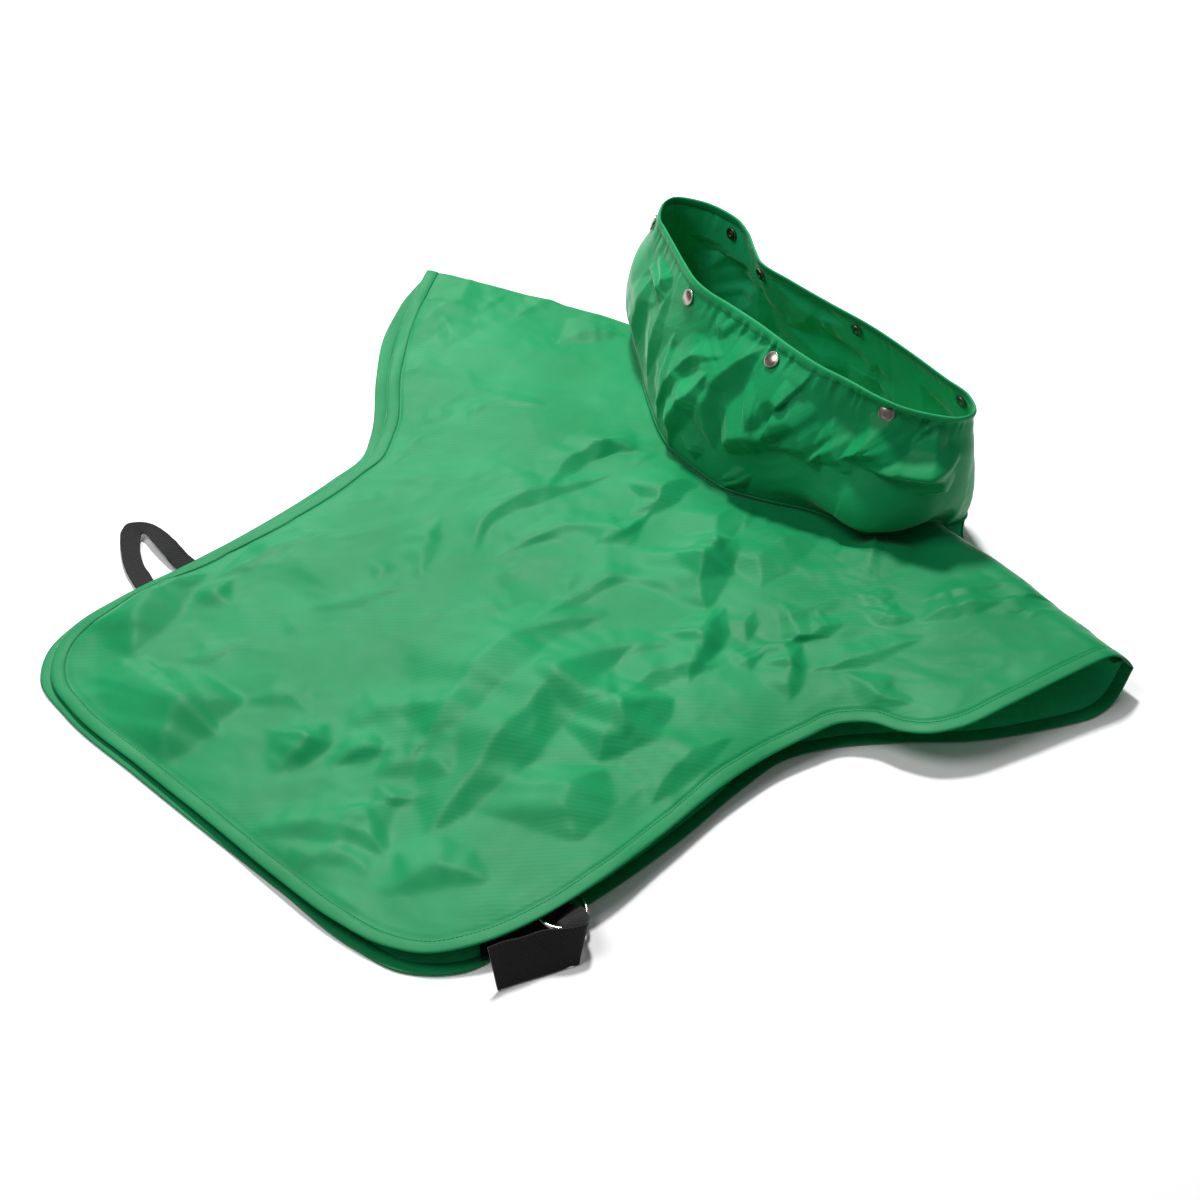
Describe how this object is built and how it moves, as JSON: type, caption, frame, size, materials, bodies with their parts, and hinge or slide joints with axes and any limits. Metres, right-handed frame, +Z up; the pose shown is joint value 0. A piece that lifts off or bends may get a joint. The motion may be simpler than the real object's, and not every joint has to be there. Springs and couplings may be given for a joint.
{
  "type": "protective shoulder cape",
  "caption": "Green nylon shoulder cape, front and back panels sewn at the shoulders, stand-up snap collar, side straps, one with a D-ring.",
  "frame": {"origin": "middle of the footprint's box, on the floor that the cape lies on", "axes": "+X along the shoulder line to the collar's right as seen from the hem, +Y from the hem to the collar, +Z up, out of the front panel"},
  "size_m": [0.84, 0.7272, 0.1669],
  "materials": {
    "cloth": "coated woven nylon, satin",
    "binding": "woven nylon tape, stitched",
    "collar_cloth": "coated woven nylon, satin, gathered",
    "elastic": "braided elastic",
    "snap_metal": "nickel plated",
    "ring_metal": "nickel plated wire",
    "webbing": "black woven webbing, matt",
    "hook_tape": "black hook tape",
    "loop_tape": "black loop tape, napped",
    "thread": "black polyester thread"
  },
  "bodies": {
    "root": {"back_panel": "cloth", "back_edge_binding": "binding", "left_shoulder_tape": "cloth", "right_shoulder_tape": "cloth", "neck_seam_tape": "binding", "collar": "collar_cloth", "collar_rim_casing": "collar_cloth", "collar_elastic": "elastic", "snap_caps": "snap_metal", "snap_sockets": "snap_metal"},
    "front": {"front_panel": "cloth", "front_edge_binding": "binding", "left_strap": "webbing", "right_strap_base": "webbing", "loop_patch": "loop_tape", "strap_bartacks": "thread", "d_ring_tab": "webbing"},
    "ring": {"d_ring": "ring_metal"},
    "tail": {"right_strap_tail": "webbing", "hook_patch": "hook_tape"}
  },
  "joints": [
    {"name": "front_lift", "type": "hinge", "parent": "root", "child": "front", "pos_m": [0, 0.3415, 0.042], "axis": [-1, 0, 0], "range_deg": [0, 16]},
    {"name": "ring_swivel", "type": "hinge", "parent": "front", "child": "ring", "pos_m": [0.2545, -0.2375, 0.016], "axis": [0, -1, 0], "range_deg": [0, 25]},
    {"name": "tail_peel", "type": "hinge", "parent": "ring", "child": "tail", "pos_m": [0.27657, -0.25129, 0.016], "axis": [-0.766, -0.6428, 0], "range_deg": [0, 95]}
  ]
}
